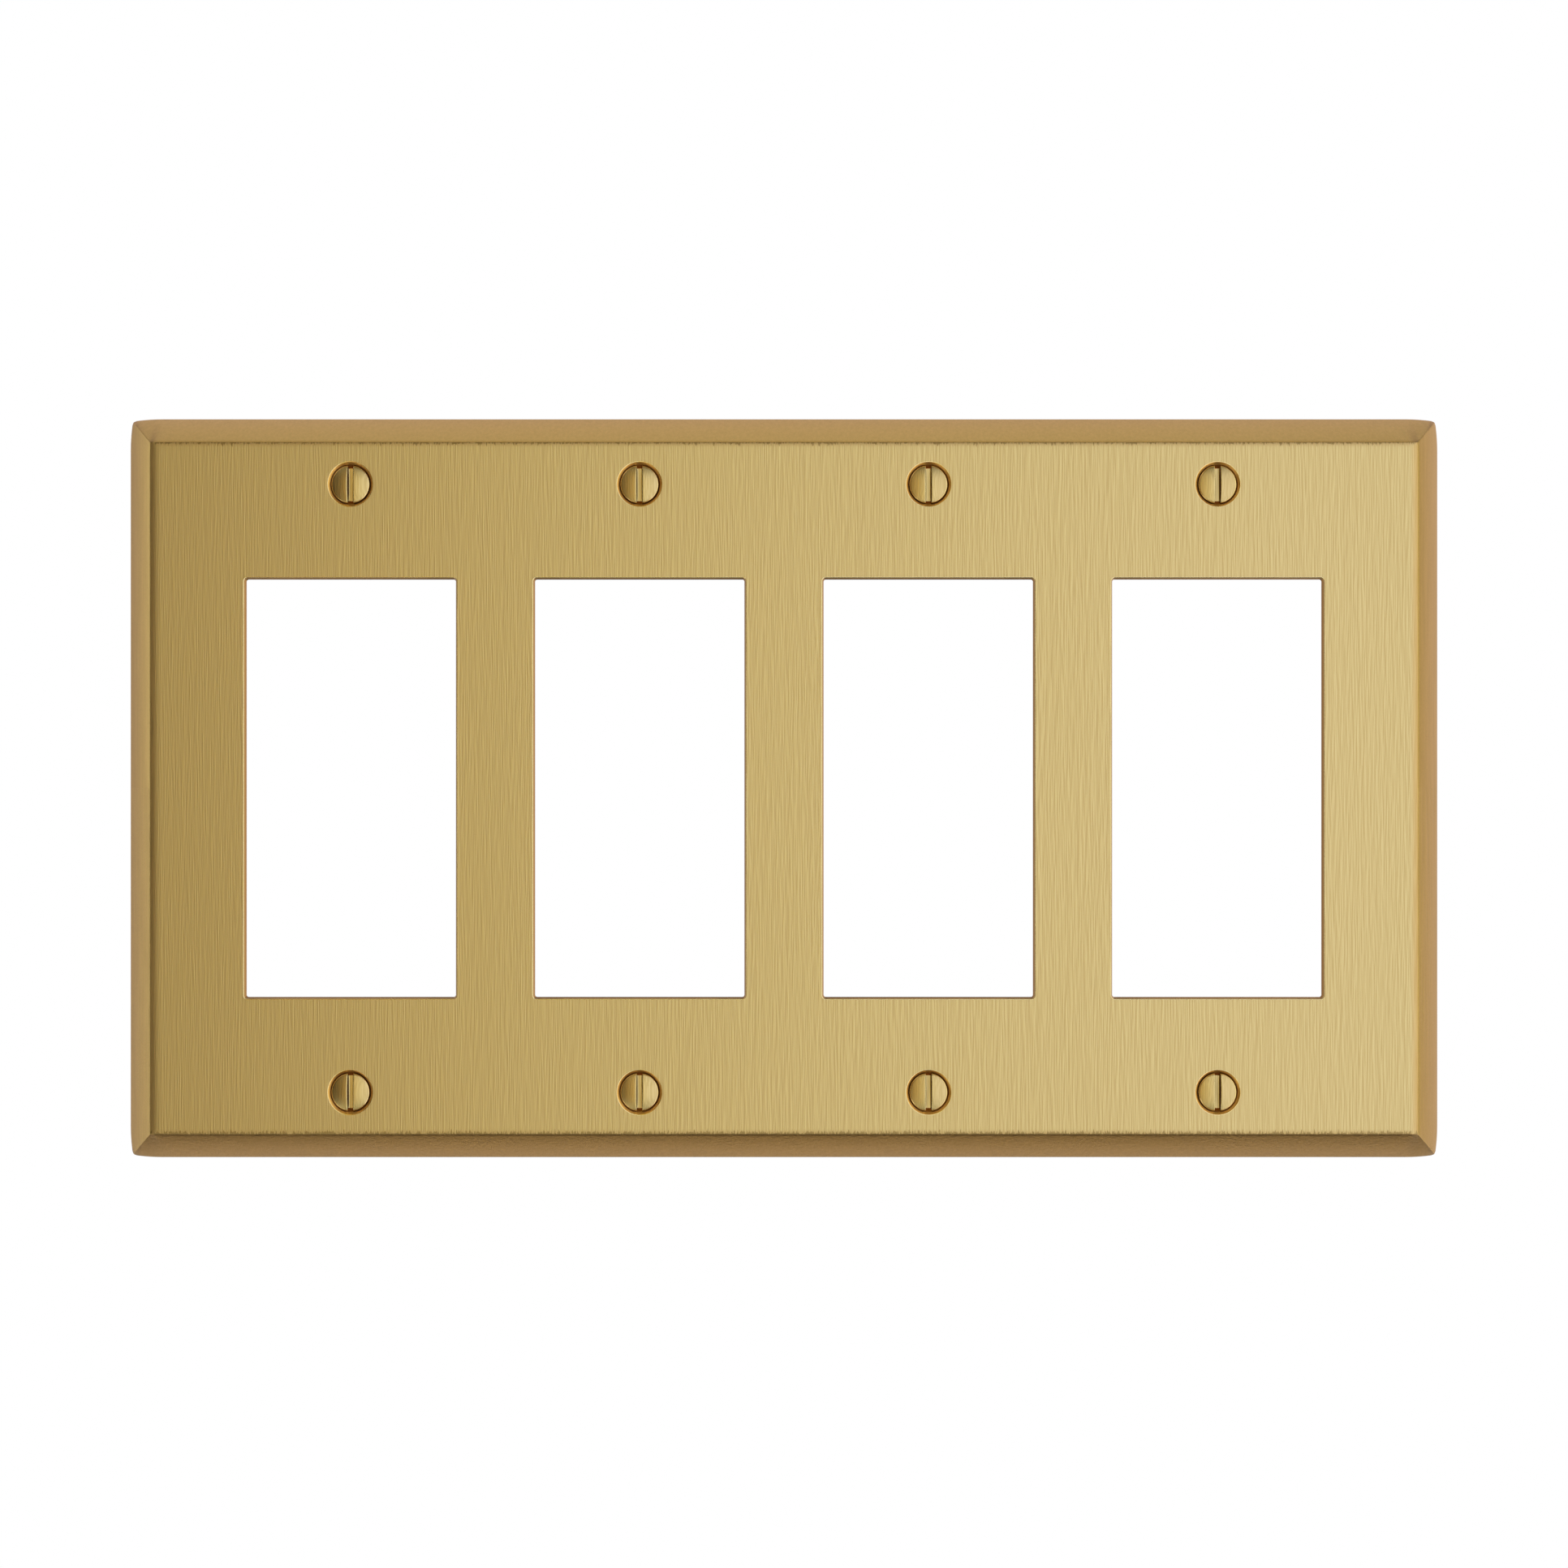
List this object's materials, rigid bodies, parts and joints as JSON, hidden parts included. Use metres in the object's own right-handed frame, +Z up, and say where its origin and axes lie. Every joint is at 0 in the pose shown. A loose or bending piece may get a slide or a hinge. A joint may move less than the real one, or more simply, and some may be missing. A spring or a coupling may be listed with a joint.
{
  "type": "decorator wall plate",
  "caption": "Brushed brass multi-gang wall plate with tall rectangular device openings, a bevelled edge and slotted oval-head screws.",
  "frame": {"origin": "centre of the plate on the wall plane, where its rim rests and its screws cross into the wall box", "axes": "+X along the plate's width to the right as seen from the front, +Y into the wall along the screws, +Z up along the tall openings; the face looks along -Y"},
  "size_m": [0.2108, 0.0164, 0.119],
  "materials": {
    "brushed_brass": "satin, with fine vertical brushing on the face and a smooth bevel",
    "screw_brass": "satin brass, heads finely brushed to match the plate, bright inside the slots and on the threads"
  },
  "bodies": {
    "plate": {"wall_plate": "brushed_brass"},
    "screw_top_1": {"screw_top_1": "screw_brass"},
    "screw_top_2": {"screw_top_2": "screw_brass"},
    "screw_top_3": {"screw_top_3": "screw_brass"},
    "screw_top_4": {"screw_top_4": "screw_brass"},
    "screw_bottom_1": {"screw_bottom_1": "screw_brass"},
    "screw_bottom_2": {"screw_bottom_2": "screw_brass"},
    "screw_bottom_3": {"screw_bottom_3": "screw_brass"},
    "screw_bottom_4": {"screw_bottom_4": "screw_brass"}
  },
  "joints": [
    {"name": "screw_top_1_turn", "type": "hinge", "parent": "plate", "child": "screw_top_1", "pos_m": [-0.06906, 0, 0.04842], "axis": [0, 1, 0], "continuous": true},
    {"name": "screw_top_2_turn", "type": "hinge", "parent": "plate", "child": "screw_top_2", "pos_m": [-0.02302, 0, 0.04842], "axis": [0, 1, 0], "continuous": true},
    {"name": "screw_top_3_turn", "type": "hinge", "parent": "plate", "child": "screw_top_3", "pos_m": [0.02302, 0, 0.04842], "axis": [0, 1, 0], "continuous": true},
    {"name": "screw_top_4_turn", "type": "hinge", "parent": "plate", "child": "screw_top_4", "pos_m": [0.06906, 0, 0.04842], "axis": [0, 1, 0], "continuous": true},
    {"name": "screw_bottom_1_turn", "type": "hinge", "parent": "plate", "child": "screw_bottom_1", "pos_m": [-0.06906, 0, -0.04842], "axis": [0, 1, 0], "continuous": true},
    {"name": "screw_bottom_2_turn", "type": "hinge", "parent": "plate", "child": "screw_bottom_2", "pos_m": [-0.02302, 0, -0.04842], "axis": [0, 1, 0], "continuous": true},
    {"name": "screw_bottom_3_turn", "type": "hinge", "parent": "plate", "child": "screw_bottom_3", "pos_m": [0.02302, 0, -0.04842], "axis": [0, 1, 0], "continuous": true},
    {"name": "screw_bottom_4_turn", "type": "hinge", "parent": "plate", "child": "screw_bottom_4", "pos_m": [0.06906, 0, -0.04842], "axis": [0, 1, 0], "continuous": true}
  ]
}
